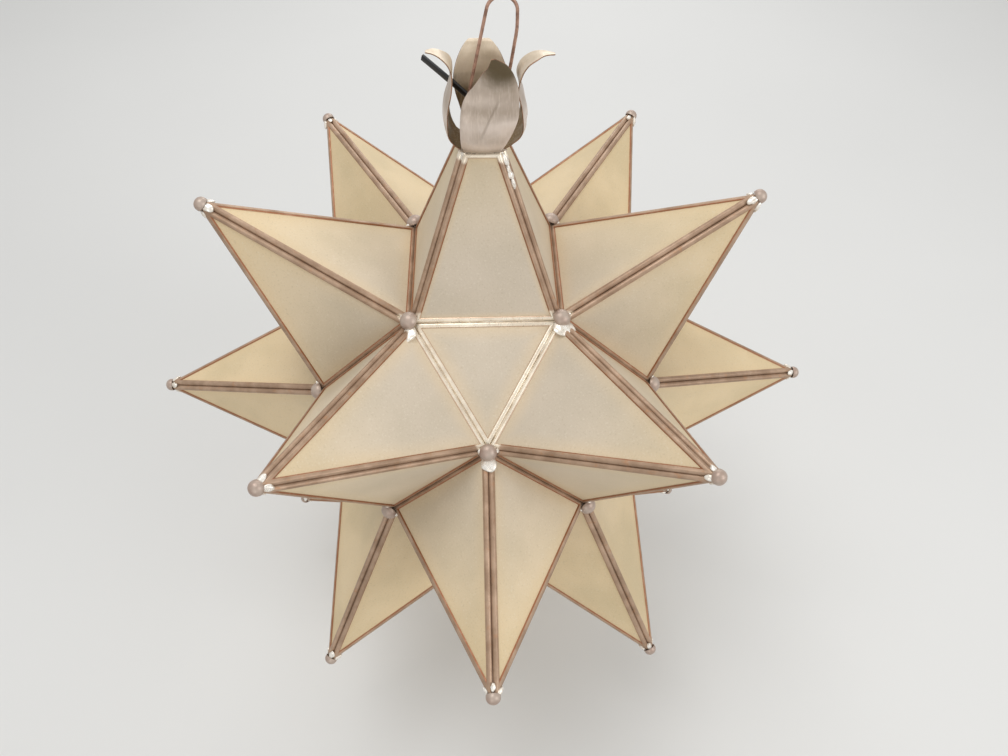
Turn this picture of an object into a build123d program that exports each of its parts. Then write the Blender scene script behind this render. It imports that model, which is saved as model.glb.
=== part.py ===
"""Moravian star pendant: a glass star of twenty-six faces, hung from a wire loop.

The star is a rhombicuboctahedron.  Its eighteen squares carry tall glass points and its
eight triangles are bare panes.  The top square carries a cut-off point, the neck, which
holds a sheet-metal flower and a wire loop.  The bottom point is a hinged door for changing
the bulb.  Every pane is held in its own folded metal came.

Frame: millimetres, +Z up, the star hanging plumb, the front at -Y.  The origin is where the
hook bears, under the top of the wire loop.
"""
from build123d import *
from itertools import product
from math import acos, asin, atan2, cos, degrees, pi, radians, sin, sqrt, tan
import os

os.makedirs("parts", exist_ok=True)

# ---- Driving dimensions --------------------------------------------------------------
# The star
square_side = 112.0  # side of every square and triangle of the star
point_height = 160.0  # height of a point above its square
glass_thickness = 2.0
came_diameter = 4.6
came_flats = 8  # the rolled came is drawn with flats
groove_reach = 0.6  # how far the glass groove goes past the middle of the came
groove_play = 0.1  # between the glass and each side of its groove
came_gap = 0.1  # between the cames of neighbouring panes

# The neck
neck_top_width = 27.0  # across the glass at the top of the neck

# Caps on the corners and on the tips
cap_flats = 10
corner_cap_diameter = 14.0
corner_cap_height = 6.4
corner_cap_wall = 0.7
tip_cap_diameter = 10.8
tip_cap_height = 6.8
tip_cap_wall = 0.55
tip_cap_cover = 5.6  # how far below the true tip of a point the rim of its cap lies
tip_cap_cavity = 3.3
seat_gap = 0.15

# The flower
flower_base_width = 28.8
flower_base_thickness = 1.0
petal_sheet = 0.8
petal_root_gap = 0.7  # from the edge of the base to the middle line of a petal
petal_root_width = 23.0
petal_tip_width = 2.4
petal_cup = 53.0  # radius of a petal's hollow, across it
petal_flats = 6  # across a petal
# Each petal from root to tip: out from the axis, sideways, up from the top of the neck, and width
front_petal = [(20.6, 0.0, 4.2, 26.5), (23.6, 0.6, 12.0, 30.5), (24.2, 3.0, 24.0, 35.5),
               (23.0, 5.6, 36.0, 37.5), (22.0, 7.6, 47.0, 33.0), (22.2, 8.0, 57.0, 27.0),
               (24.5, 7.6, 68.0, 17.5), (27.5, 6.2, 78.0, petal_tip_width)]
right_petal = [(21.5, 0.0, 3.6, 25.5), (28.0, 0.0, 11.0, 31.0), (30.4, 0.0, 21.0, 35.5),
               (28.4, 0.0, 33.5, 33.0), (25.6, 0.0, 43.5, 26.0), (26.6, 0.0, 51.0, 20.5),
               (29.9, 0.0, 56.0, 17.0), (34.5, 0.0, 59.6, 13.0), (39.6, 0.0, 61.4, 8.0),
               (46.7, 0.0, 61.3, petal_tip_width)]
back_petal = [(21.0, 0.0, 3.8, 26.0), (25.0, 0.0, 12.0, 30.5), (25.6, 0.0, 24.0, 36.0),
              (23.8, 0.3, 36.0, 37.5), (22.0, 0.6, 47.0, 33.0), (22.6, 0.8, 54.5, 27.0),
              (25.2, 0.8, 58.2, 20.0), (28.2, 0.7, 55.6, 12.0), (30.8, 0.6, 49.6, petal_tip_width)]
left_petal = [(20.2, 0.0, 3.2, 25.0), (24.3, 0.0, 10.5, 30.5), (26.0, 0.0, 21.0, 35.0),
              (24.8, 0.0, 32.0, 33.0), (21.4, 0.0, 42.5, 26.0), (20.0, 0.0, 51.0, 19.5),
              (21.5, 0.0, 57.0, 15.0), (25.5, 0.0, 61.2, 11.0), (30.0, 0.0, 63.2, 6.5),
              (34.9, 0.0, 63.5, petal_tip_width)]

# The wire loop
wire_diameter = 2.2
wire_flats = 8
leg_spacing = 18.6
foot_length = 4.0
foot_bend = 1.4
loop_lean = 13.2  # how far the top of the loop stands to the right of the neck's axis
loop_height = 98.0  # of the wire's middle line, above the top of the neck
loop_left_shoulder = 7.8  # from the top of the loop to the corner on its left
loop_right_shoulder = 9.2
loop_leg_straight = 4.5  # how far above the neck the legs stay upright
loop_bend = 30.0
# Corners of the bent wire: across from the axis, up from the top of the neck, and their radius
loop_left_corner = (-10.4, 25.0, 30.0)
loop_right_corners = [(22.4, 78.0, 50.0), (19.0, 56.0, 50.0)]
loop_left_radius = 9.5
loop_right_radius = 9.0
swing_angle = 15.0  # how far the star can swing on the loop, either way

# The plate in the neck, the nipple and its nuts
neck_plate_depth = 7.0  # of its top face below the top of the neck
neck_plate_thickness = 1.5
slot_play = 0.3
nipple_diameter = 10.0
nipple_bore = 6.2
nipple_above = 6.0
nipple_in_holder = 6.4
nipple_play = 0.1
nut_across_flats = 13.0
nut_thickness = 4.0

# The lamp holder and the bulb
holder_diameter = 28.0
holder_wall = 1.5
holder_flats = 20
holder_gap = 1.1  # between the lower nut and the holder
holder_cap_height = 14.0
holder_cap_top = 3.5
holder_cap_edge = 4.0
holder_shell_length = 36.0
core_thickness = 7.0
core_depth = 2.0  # of the insulating core below the top of the shell
sleeve_wall = 1.0
sleeve_length = 21.0
fit_play = 0.1
bulb_cap_diameter = 14.0
bulb_cap_length = 22.0
bulb_diameter = 45.0
bulb_neck_diameter = 16.0
bulb_neck_length = 12.0
bulb_flats = 14

# The cord, flat and twin, from the holder out between two petals to its cut end
cord_width = 5.2
cord_thickness = 2.6
cord_points = [(0.0, 0.0, 1.0), (0.0, 0.0, 9.5), (-0.8, 4.6, 15.8), (-3.0, 11.0, 19.4),
               (-8.0, 15.2, 23.4), (-14.4, 16.9, 28.8), (-22.0, 19.35, 34.6),
               (-30.4, 24.9, 39.4), (-39.0, 31.0, 43.8)]
cord_turn = -60.0  # degrees, of its wide side where it leaves the nipple
cord_bend_share = 0.45  # of the shorter run at a bend that the bend may use

# The door's hinge and its stop tabs
door_gap = 0.4
pin_diameter = 2.4
pin_play = 0.05
pin_overhang = 1.6
knuckle_diameter = 4.8
knuckle_length = 10.0
knuckle_gap = 0.4
knuckle_clearance = 0.35
saddle_thickness = 2.2
saddle_gap = 0.05
tab_length = 12.0
tab_width = 9.0
tab_thickness = 1.0
tab_gap = 0.2
tab_spacing = 44.0

# ---- Sizes that follow ---------------------------------------------------------------
half_side = square_side / 2
slope_length = sqrt(point_height**2 + half_side**2)
slope = atan2(point_height, half_side)  # of a pane of a point, from its square
square_reach = half_side * (1 + sqrt(2))  # from the centre of the star to its squares
triangle_reach = half_side * (3 + sqrt(2)) / sqrt(3)
tip_reach = square_reach + point_height
neck_top_reach = tip_reach - point_height * neck_top_width / square_side

# The angle between two panes, measured on the side where their cames lie
ridge_angle = pi - acos((half_side / slope_length) ** 2)
square_valley = radians(225) - 2 * slope
triangle_valley = pi + asin(1 / sqrt(3)) - slope

came_radius = came_diameter / 2
came_pitch = came_diameter + came_gap
top_z = wire_diameter / 2 - loop_height
star_centre = Vector(-loop_lean, 0, top_z - neck_top_reach)
foot_level = -neck_plate_depth - neck_plate_thickness - slot_play - wire_diameter / 2
UP = (Align.CENTER, Align.CENTER, Align.MIN)
DOWN = (Align.CENTER, Align.CENTER, Align.MAX)


def inset(angle):
    """How far a came lies in from an edge where two panes meet at this angle."""
    return came_pitch / (2 * sin(angle / 2))


def door_inset(angle):
    """The same for a came of the door, which keeps its gap from the fixed came beside it."""
    fixed = inset(angle)
    return fixed * cos(angle) + sqrt((came_diameter + door_gap) ** 2 - (fixed * sin(angle)) ** 2)


# ---- Panes and cames -----------------------------------------------------------------
side_inset = inset(ridge_angle) / sin(atan2(slope_length, half_side))


def point_corners(base_inset):
    """The came's middle line round a pane of a point, drawn flat with its base on the X axis."""
    reach = half_side * (1 - base_inset / slope_length) - side_inset
    tip = slope_length * (1 - side_inset / half_side)
    return [(-reach, base_inset), (reach, base_inset), (0, tip)]


def neck_corners(base_inset):
    """The same for a pane of the neck, whose top came ends level with the top of the neck."""
    top = slope_length * (1 - neck_top_width / square_side) - came_radius / sin(slope)
    low_reach = half_side * (1 - base_inset / slope_length) - side_inset
    top_reach = half_side * (1 - top / slope_length) - side_inset
    return [(-low_reach, base_inset), (low_reach, base_inset), (top_reach, top), (-top_reach, top)]


def triangle_corners():
    """The same for a bare triangular pane, with one corner at +Y."""
    reach = square_side / sqrt(3) - 2 * inset(triangle_valley)
    return [(reach * cos(radians(turn)), reach * sin(radians(turn))) for turn in (210, 330, 90)]


def came(corners):
    """A folded came bent round one pane, with a groove all round its inside for the glass."""
    with BuildPart() as ring:
        with BuildLine() as run:
            middle = ((corners[0][0] + corners[1][0]) / 2, (corners[0][1] + corners[1][1]) / 2)
            Polyline(middle, *corners[1:], corners[0], close=True)
        with BuildSketch(Plane(origin=run.line @ 0, z_dir=run.line % 0)):
            RegularPolygon(came_radius, came_flats)
        sweep(transition=Transition.RIGHT)
        with BuildSketch():
            with BuildLine():
                Polyline(*corners, close=True)
            make_face()
            offset(amount=groove_reach, kind=Kind.INTERSECTION)
        extrude(amount=glass_thickness / 2 + groove_play, both=True, mode=Mode.SUBTRACT)
    return ring


def glass(corners):
    """The pane that sits in the groove of such a came."""
    with BuildPart() as pane:
        with BuildSketch():
            with BuildLine():
                Polyline(*corners, close=True)
            make_face()
            offset(amount=groove_reach - groove_play, kind=Kind.INTERSECTION)
        extrude(amount=glass_thickness / 2, both=True)
    return pane


def side(turn):
    """The plane of one side of a point, whose square lies on the XY plane."""
    out = Vector(cos(radians(turn)), sin(radians(turn)), 0)
    along = Vector(-out.Y, out.X, 0)
    return Plane(origin=out * half_side, x_dir=along, z_dir=out * sin(slope) + Vector(0, 0, cos(slope)))


def four_sides(make, across, along):
    """Four panes or cames of a point: two that face local X and two that face local Y."""
    with BuildPart() as sides:
        with Locations(side(0), side(180)):
            add(make(across).part)
        with Locations(side(90), side(270)):
            add(make(along).part)
    return sides


def placed(piece, *places):
    """The piece at each of these places."""
    with BuildPart() as copies:
        with Locations(*places):
            add(piece.part)
    return copies


def finish(piece, name):
    """Name a finished piece and write it."""
    piece.part.label = name
    export_step(piece.part, f"parts/{name}.step")


def stacked(rings, flats):
    """A body with flat sides through rings, each (height, radius)."""
    with BuildPart() as stack:
        for (low, wide), (high, narrow) in zip(rings, rings[1:]):
            with BuildSketch(Plane.XY.offset(low)):
                RegularPolygon(wide, flats)
            narrowing = (wide - narrow) * cos(pi / flats)
            extrude(amount=high - low, taper=degrees(atan2(narrowing, high - low)))
    return stack


def skin(rings):
    """A solid through rings of corners, each ring flat, with a wall of triangles between them."""
    walls = [Face(Wire.make_polygon(rings[0])), Face(Wire.make_polygon(rings[-1]))]
    for ring, after in zip(rings, rings[1:]):
        for k in range(len(ring)):
            walls.append(Face(Wire.make_polygon([ring[k - 1], ring[k], after[k]])))
            walls.append(Face(Wire.make_polygon([ring[k - 1], after[k], after[k - 1]])))
    return Solid(Shell(walls))


# ---- Where the points and the triangles are -------------------------------------------
# The cube that the star is built on stands on its front and back faces, turned 45 degrees
cube = Plane(origin=star_centre, x_dir=(1, 0, 1), z_dir=(0, -1, 0))


def facing(direction, x_dir, reach):
    """The plane of the face of the star that looks in this direction."""
    out = Vector(*direction).normalized()
    return Plane(origin=star_centre + out * reach, x_dir=x_dir, z_dir=out)


# Points on the cube's faces have a square on every side
face_points = {
    "front": facing((0, -1, 0), (1, 0, 1), square_reach),
    "back": facing((0, 1, 0), (1, 0, 1), square_reach),
}
for height, lift in (("upper", 1), ("lower", -1)):
    for hand, way in (("right", 1), ("left", -1)):
        face_points[f"{height}_{hand}"] = facing((way, 0, lift), (0, 1, 0), square_reach)

# Points on the cube's edges have a triangle on each side that faces their local Y
edge_points = {
    "right": facing((1, 0, 0), (0, 0, 1), square_reach),
    "left": facing((-1, 0, 0), (0, 0, 1), square_reach),
}
for height, lift in (("upper", 1), ("lower", -1)):
    for depth, back in (("front", -1), ("back", 1)):
        for hand, way in (("right", 1), ("left", -1)):
            out = Vector(way, back * sqrt(2), lift)
            to_triangle = Vector(-way, 0, lift)
            edge_points[f"{height}_{depth}_{hand}"] = facing(out, to_triangle.cross(out), square_reach)

neck_place = facing((0, 0, 1), (1, 0, 0), square_reach)
door_place = facing((0, 0, -1), (1, 0, 0), square_reach)

triangle_places = []
for x, y, z in product((-1, 0, 1), (-1, 1), (-1, 0, 1)):
    if abs(x) + abs(z) == 1:
        out = Vector(x * sqrt(2), y, z * sqrt(2))
        triangle_places.append(facing(out, Vector(0, y, 0).cross(out), triangle_reach))

# ---- The closed points ----------------------------------------------------------------
beside_square = point_corners(inset(square_valley))
beside_triangle = point_corners(inset(triangle_valley))
face_point_cames = four_sides(came, beside_square, beside_square)
face_point_glass = four_sides(glass, beside_square, beside_square)
edge_point_cames = four_sides(came, beside_square, beside_triangle)
edge_point_glass = four_sides(glass, beside_square, beside_triangle)

for name, place in face_points.items():
    finish(placed(face_point_cames, place), f"{name}_point_cames")
    finish(placed(face_point_glass, place), f"{name}_point_glass")
for name, place in edge_points.items():
    finish(placed(edge_point_cames, place), f"{name}_point_cames")
    finish(placed(edge_point_glass, place), f"{name}_point_glass")

# ---- The bare triangles ---------------------------------------------------------------
finish(placed(came(triangle_corners()), *triangle_places), "triangle_cames")
finish(placed(glass(triangle_corners()), *triangle_places), "triangle_glass")

# ---- The neck -------------------------------------------------------------------------
neck_beside_square = neck_corners(inset(square_valley))
neck_beside_triangle = neck_corners(inset(triangle_valley))
finish(placed(four_sides(came, neck_beside_square, neck_beside_triangle), neck_place), "neck_cames")
finish(placed(four_sides(glass, neck_beside_square, neck_beside_triangle), neck_place), "neck_glass")

# ---- The door -------------------------------------------------------------------------
door_beside_square = point_corners(door_inset(square_valley))
door_beside_triangle = point_corners(door_inset(triangle_valley))
finish(placed(four_sides(came, door_beside_square, door_beside_triangle), door_place), "door_cames")
finish(placed(four_sides(glass, door_beside_square, door_beside_triangle), door_place), "door_glass")


# ---- Caps -----------------------------------------------------------------------------
def domed_cap(rings, cavity):
    """A pressed cap, open below: rings of its outside and of its cavity, each (height, radius)."""
    with BuildPart() as cap:
        add(stacked(rings, cap_flats).part)
        add(stacked(cavity, cap_flats).part, mode=Mode.SUBTRACT)
    return cap


def dome_rings(diameter, height, skirt, turns):
    """Rings of a round dome that stands on a straight skirt."""
    rise = height - skirt
    rings = [(skirt + rise * sin(radians(turn)), diameter / 2 * cos(radians(turn))) for turn in turns]
    return rings if skirt == 0 else [(0, diameter / 2)] + rings


corner = Vector(1, 1, 1 + sqrt(2)) * half_side
ridge = Vector(0, 0, tip_reach) - corner
ridge_climb = asin(ridge.dot(corner) / (ridge.length * corner.length))
corner_lift = corner_cap_diameter / 2 * tan(ridge_climb) + seat_gap

corner_places = []
for long_axis in range(3):
    for signs in product((-1, 1), repeat=3):
        reach = [sign * half_side for sign in signs]
        reach[long_axis] *= 1 + sqrt(2)
        at = cube.from_local_coords(tuple(reach))
        out = (at - star_centre).normalized()
        if at.Z > star_centre.Z - square_reach + half_side / 2:  # the door's corners have none
            corner_places.append(Plane(origin=at + out * corner_lift, z_dir=out))

corner_cap = domed_cap(
    dome_rings(corner_cap_diameter, corner_cap_height, 0, (0, 40, 75)),
    dome_rings(corner_cap_diameter - 2 * corner_cap_wall, corner_cap_height - corner_cap_wall, 0, (0, 55)),
)
finish(placed(corner_cap, *corner_places), "corner_caps")

tip_cap = domed_cap(
    dome_rings(tip_cap_diameter, tip_cap_height, tip_cap_height / 4, (0, 40, 75)),
    [(0, tip_cap_diameter / 2 - tip_cap_wall), (tip_cap_cavity, tip_cap_diameter / 3)],
)
tip_height = point_height - tip_cap_cover
tips = [place.offset(tip_height) for place in [*face_points.values(), *edge_points.values()]]
finish(placed(tip_cap, *tips), "tip_caps")
finish(placed(tip_cap, door_place.offset(tip_height)), "door_tip_cap")


# ---- The flower -----------------------------------------------------------------------
def on_axis(height, turn=0):
    """A place on the neck's axis, this far above the top of the neck."""
    return Location((-loop_lean, 0, top_z + height), (0, 0, turn))


def slot_length(top):
    """Length of a slot that lets a leg of the loop swing, in a plate whose top is this high."""
    above_feet = top - foot_level
    return (wire_diameter / cos(radians(swing_angle))
            + 2 * above_feet * tan(radians(swing_angle)) + 2 * slot_play)


def plate(top, width, thickness):
    """A square plate on the neck's axis, with a hole for the nipple and slots for the legs."""
    with BuildPart() as sheet:
        with BuildSketch(Plane(on_axis(top))):
            Rectangle(width, width)
            Circle(nipple_diameter / 2 + nipple_play, mode=Mode.SUBTRACT)
            with GridLocations(leg_spacing, 0, 2, 1):
                SlotOverall(slot_length(top), wire_diameter + 2 * slot_play, rotation=90, mode=Mode.SUBTRACT)
        extrude(amount=-thickness)
    return sheet


def petal(stations, turn):
    """One petal of sheet metal, cupped across, and the way that it stands on the neck."""
    root = Vector(flower_base_width / 2 + petal_root_gap, 0, seat_gap)
    middles = [root] + [Vector(out, aside, up) for out, aside, up, width in stations]
    widths = [petal_root_width] + [width for out, aside, up, width in stations]
    rings = []
    for k, (middle, width) in enumerate(zip(middles, widths)):
        heading = middles[min(k + 1, len(middles) - 1)] - middles[max(k - 1, 0)]
        cup = petal_cup if k else 100 * petal_cup  # the root is flat, along the edge of the base
        across = [width * (step / petal_flats - 0.5) for step in range(petal_flats + 1)]
        outside = [(reach, reach**2 / (2 * cup)) for reach in across]
        inside = [(reach, rise + petal_sheet) for reach, rise in reversed(outside)]
        place = Plane(origin=middle, x_dir=(0, 1, 0), z_dir=heading)
        rings.append([place.from_local_coords(corner) for corner in outside + inside])
    with BuildPart() as leaf:
        add(skin(rings))
    return placed(leaf, on_axis(0, turn))


finish(petal(front_petal, 270), "front_petal")
finish(petal(right_petal, 0), "right_petal")
finish(petal(back_petal, 90), "back_petal")
finish(petal(left_petal, 180), "left_petal")

base_top = seat_gap + flower_base_thickness
finish(plate(base_top, flower_base_width, flower_base_thickness), "flower_base")

# ---- The wire loop --------------------------------------------------------------------
leg = leg_spacing / 2
wire_corners = [
    (-leg, foot_level, foot_bend),
    (-leg, loop_leg_straight, loop_bend),
    loop_left_corner,
    (loop_lean - loop_left_shoulder, loop_height, loop_left_radius),
    (loop_lean + loop_right_shoulder, loop_height, loop_right_radius),
    *loop_right_corners,
    (leg, loop_leg_straight, loop_bend),
    (leg, foot_level, foot_bend),
]
wire_route = [(across, up) for across, up, radius in wire_corners]
wire_radii = [radius for across, up, radius in wire_corners]
left_foot = (-leg - foot_length, foot_level)
right_foot = (leg + foot_length, foot_level)

with BuildPart() as hanging_loop:
    with BuildLine(Plane(origin=on_axis(0).position, x_dir=(1, 0, 0), z_dir=(0, -1, 0))) as wire:
        FilletPolyline(left_foot, *wire_route, right_foot, radius=wire_radii)
    with BuildSketch(Plane(origin=wire.line @ 0, z_dir=wire.line % 0)):
        RegularPolygon(wire_diameter / 2, wire_flats)
    sweep()
finish(hanging_loop, "hanging_loop")

# ---- The plate in the neck, the nipple and its nuts ------------------------------------
# The plate's corners reach the cames along the four ridges of the neck
plate_half = neck_top_width / 2 + neck_plate_depth / tan(slope)
ridge_lean = atan2(sqrt(2) * half_side, point_height)
plate_corner = (2 * plate_half - side_inset) / sqrt(2) - came_radius / cos(ridge_lean) - seat_gap
finish(plate(-neck_plate_depth, plate_corner * sqrt(2), neck_plate_thickness), "neck_plate")

nut_bottom = -neck_plate_depth - neck_plate_thickness - nut_thickness
holder_top = nut_bottom - holder_gap
nipple_foot = holder_top - nipple_in_holder
with BuildPart() as nipple:
    with Locations(on_axis(nipple_foot)):
        Cylinder(nipple_diameter / 2, nipple_above - nipple_foot, align=UP)
        Cylinder(nipple_bore / 2, nipple_above - nipple_foot, align=UP, mode=Mode.SUBTRACT)
finish(nipple, "nipple")

with BuildPart() as nut:
    with BuildSketch():
        RegularPolygon(nut_across_flats / 2, 6, major_radius=False)
        Circle(nipple_diameter / 2 + nipple_play, mode=Mode.SUBTRACT)
    extrude(amount=nut_thickness)
with BuildPart() as nipple_nuts:
    with Locations(on_axis(base_top), on_axis(nut_bottom)):
        add(nut.part)
finish(nipple_nuts, "nipple_nuts")

# ---- The lamp holder and the bulb -------------------------------------------------------
shell_top = holder_top - holder_cap_height
shell_bore = holder_diameter / 2 - holder_wall  # as a radius
holder_radius = holder_diameter / 2
cap_bend = holder_cap_height - holder_cap_edge
cap_top_radius = holder_radius - holder_cap_edge
cap_rings = [(0, holder_radius), (cap_bend, holder_radius), (holder_cap_height, cap_top_radius)]
with BuildPart() as holder_cap:
    with Locations(on_axis(shell_top)):
        add(stacked(cap_rings, holder_flats).part)
        Cylinder(nipple_diameter / 2 + nipple_play, holder_cap_height, align=UP, mode=Mode.SUBTRACT)
    with BuildSketch(Plane(on_axis(shell_top))):
        RegularPolygon(shell_bore, holder_flats)
    extrude(amount=holder_cap_height - holder_cap_top, mode=Mode.SUBTRACT)
finish(holder_cap, "holder_cap")

with BuildPart() as holder_shell:
    with BuildSketch(Plane(on_axis(shell_top))):
        RegularPolygon(holder_radius, holder_flats)
        RegularPolygon(shell_bore, holder_flats, mode=Mode.SUBTRACT)
    extrude(amount=-holder_shell_length)
finish(holder_shell, "holder_shell")

sleeve_radius = bulb_cap_diameter / 2 + fit_play
core_top = shell_top - core_depth
with BuildPart() as holder_core:
    with BuildSketch(Plane(on_axis(core_top))):
        RegularPolygon(shell_bore - fit_play, holder_flats)
    extrude(amount=-core_thickness)
    with Locations(on_axis(core_top)):
        Cylinder(sleeve_radius + sleeve_wall, core_thickness + sleeve_length, align=DOWN)
    with Locations(on_axis(core_top - core_thickness)):
        Cylinder(sleeve_radius, sleeve_length, align=DOWN, mode=Mode.SUBTRACT)
finish(holder_core, "holder_core")

bulb_cap_top = core_top - core_thickness - fit_play
with BuildPart() as bulb_cap:
    with Locations(on_axis(bulb_cap_top)):
        Cylinder(bulb_cap_diameter / 2, bulb_cap_length, align=DOWN)
finish(bulb_cap, "bulb_cap")

bulb_top = bulb_cap_top - bulb_cap_length
bulb_radius = bulb_diameter / 2
neck_latitude = degrees(acos(bulb_neck_diameter / bulb_diameter))
globe_middle = bulb_top - bulb_neck_length - bulb_radius * sin(radians(neck_latitude))
neck_rings = [(bulb_top - globe_middle, bulb_neck_diameter / 2)]
upper_rings = dome_rings(bulb_diameter, bulb_radius, 0, (0, 25, 50, neck_latitude))
lower_rings = dome_rings(bulb_diameter, bulb_radius, 0, (0, 30, 60, 82))
with BuildPart() as bulb_glass:
    with Locations(on_axis(globe_middle)):
        add(stacked(upper_rings + neck_rings, bulb_flats).part)
        add(stacked(lower_rings, bulb_flats).part, rotation=(180, 0, 0))
finish(bulb_glass, "bulb_glass")

# ---- The cord --------------------------------------------------------------------------
cord_route = [Vector(*point) for point in cord_points]
cord_radii = []
for before, at, after in zip(cord_route, cord_route[1:], cord_route[2:]):
    shorter_run = min((at - before).length, (after - at).length)
    half_turn = radians((at - before).get_angle(after - at)) / 2
    cord_radii.append(cord_bend_share * shorter_run / tan(half_turn))

wide_side = (cos(radians(cord_turn)), sin(radians(cord_turn)), 0)
flat_half = (cord_width - cord_thickness) / 2
cord_outline = [(cord_width / 2, 0), (flat_half, cord_thickness / 2), (-flat_half, cord_thickness / 2)]
with BuildPart() as supply_cord:
    with BuildLine(Plane(on_axis(0))) as cord_line:
        FilletPolyline(*cord_points, radius=cord_radii)
    with BuildSketch(Plane(origin=cord_line.line @ 0, x_dir=wide_side, z_dir=cord_line.line % 0)):
        Polygon(*cord_outline, *[(-across, -up) for across, up in cord_outline], align=None)
    sweep()
finish(supply_cord, "supply_cord")
cord_length = sum(edge.length for edge in cord_line.edges())
cord_section = (cord_width - cord_thickness / 2) * cord_thickness
print("cord length", round(cord_length, 1), "radii", [round(radius, 1) for radius in cord_radii])
print("cord volume", round(supply_cord.part.volume), "section x length", round(cord_section * cord_length))


# ---- The door's hinge and its stop tabs ------------------------------------------------
def door_seam(way):
    """Where the door meets the triangle at its back (way 1) or front (way -1).

    Gives the middles of the door's came and of the fixed one beside it, and the plane between
    them that looks out of the star.
    """
    edge = star_centre + Vector(0, way * half_side, -square_reach)
    on_door = edge + Vector(0, -way * cos(slope), -sin(slope)) * door_inset(triangle_valley)
    on_frame = edge + Vector(0, way * sqrt(2 / 3), sqrt(1 / 3)) * inset(triangle_valley)
    out = (on_frame - on_door).cross(Vector(way, 0, 0))
    return on_door, on_frame, Plane(origin=(on_door + on_frame) / 2, x_dir=(1, 0, 0), z_dir=out)


came_reach = came_radius + knuckle_diameter / 2 + knuckle_clearance
hinge_door, hinge_frame, hinge_seam = door_seam(1)
hinge_height = sqrt(came_reach**2 - ((hinge_frame - hinge_door).length / 2) ** 2)
hinge_line = hinge_seam.origin + hinge_seam.z_dir * hinge_height


def knuckle(seat):
    """The middle knuckle: a tube on the pin, with a saddle soldered to the came at seat."""
    with BuildPart() as tube:
        with BuildSketch(Plane(origin=hinge_line, x_dir=seat - hinge_line, z_dir=(1, 0, 0))):
            Circle(knuckle_diameter / 2)
            with Locations((came_reach / 2, 0)):
                Rectangle(came_reach, saddle_thickness)
            with Locations((came_reach, 0)):
                Circle(came_radius + saddle_gap, mode=Mode.SUBTRACT)
            Circle(pin_diameter / 2 + pin_play, mode=Mode.SUBTRACT)
        extrude(amount=knuckle_length / 2, both=True)
    return tube


finish(knuckle(hinge_door), "door_knuckle")
knuckle_pitch = knuckle_length + knuckle_gap
outer_places = (Location((-knuckle_pitch, 0, 0)), Location((knuckle_pitch, 0, 0)))
finish(placed(knuckle(hinge_frame), *outer_places), "frame_knuckles")

with BuildPart() as hinge_pin:
    with BuildSketch(Plane(origin=hinge_line, z_dir=(1, 0, 0))):
        Circle(pin_diameter / 2)
    extrude(amount=knuckle_pitch + knuckle_length / 2 + pin_overhang, both=True)
finish(hinge_pin, "hinge_pin")

tab_plane = door_seam(-1)[2].offset(came_radius + tab_gap)
with BuildPart() as door_tabs:
    with BuildSketch(tab_plane):
        with GridLocations(tab_spacing, 0, 2, 1):
            Rectangle(tab_length, tab_width)
    extrude(amount=tab_thickness)
finish(door_tabs, "door_tabs")
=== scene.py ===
"""Looks of the Moravian star pendant: frosted panes, patinated cames, solder, flower and wire."""
import random
from math import acos, asin, atan2, cos, pi, radians, sin, sqrt, tan

import bpy
from mathutils import Matrix, Vector, noise


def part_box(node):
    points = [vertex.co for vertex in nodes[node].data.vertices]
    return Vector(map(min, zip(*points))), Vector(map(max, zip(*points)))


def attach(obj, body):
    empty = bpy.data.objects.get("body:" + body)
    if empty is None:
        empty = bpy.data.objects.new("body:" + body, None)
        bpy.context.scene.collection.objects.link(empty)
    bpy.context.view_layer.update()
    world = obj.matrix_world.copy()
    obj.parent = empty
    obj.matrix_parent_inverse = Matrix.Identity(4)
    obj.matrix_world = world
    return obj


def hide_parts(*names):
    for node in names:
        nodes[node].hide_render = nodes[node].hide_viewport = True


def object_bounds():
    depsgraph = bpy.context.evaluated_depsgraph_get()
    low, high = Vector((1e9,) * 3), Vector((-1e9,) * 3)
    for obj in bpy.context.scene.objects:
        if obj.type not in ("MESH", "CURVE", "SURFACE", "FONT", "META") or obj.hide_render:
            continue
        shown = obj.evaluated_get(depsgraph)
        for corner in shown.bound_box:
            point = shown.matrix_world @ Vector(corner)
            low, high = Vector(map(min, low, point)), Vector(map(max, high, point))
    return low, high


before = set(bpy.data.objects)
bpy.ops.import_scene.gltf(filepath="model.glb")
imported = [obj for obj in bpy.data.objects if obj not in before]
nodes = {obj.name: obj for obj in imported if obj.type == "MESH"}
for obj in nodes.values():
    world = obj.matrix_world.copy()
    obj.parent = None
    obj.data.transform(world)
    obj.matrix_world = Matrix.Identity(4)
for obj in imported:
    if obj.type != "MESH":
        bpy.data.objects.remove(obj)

MM = 0.001
cad_box = [list(corner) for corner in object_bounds()]

# ---- The star's own geometry, with the sizes of the CAD model ----
half_side = 56 * MM
point_height = 160 * MM
neck_top_width = 27 * MM
glass_thickness = 2 * MM
came_radius = 2.3 * MM
came_pitch = 4.7 * MM
door_pitch = 5.0 * MM
groove_reach = 0.6 * MM
groove_half = 1.1 * MM
slope_length = sqrt(point_height**2 + half_side**2)
slope = atan2(point_height, half_side)
square_reach = half_side * (1 + sqrt(2))
triangle_reach = half_side * (3 + sqrt(2)) / sqrt(3)
tip_reach = square_reach + point_height
ridge_angle = pi - acos((half_side / slope_length) ** 2)
square_valley = radians(225) - 2 * slope
triangle_valley = pi + asin(1 / sqrt(3)) - slope

triangles_low, triangles_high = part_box("triangle_cames")
star_centre = (triangles_low + triangles_high) / 2
plate_low, plate_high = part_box("flower_base")
neck_axis = (plate_low.x + plate_high.x) / 2
neck_cut = point_height * neck_top_width / (2 * half_side)
neck_top = Vector((neck_axis, 0, star_centre.z + tip_reach - neck_cut))


def inset(angle):
    """How far a came lies in from an edge where two panes meet at this angle."""
    return came_pitch / (2 * sin(angle / 2))


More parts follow.
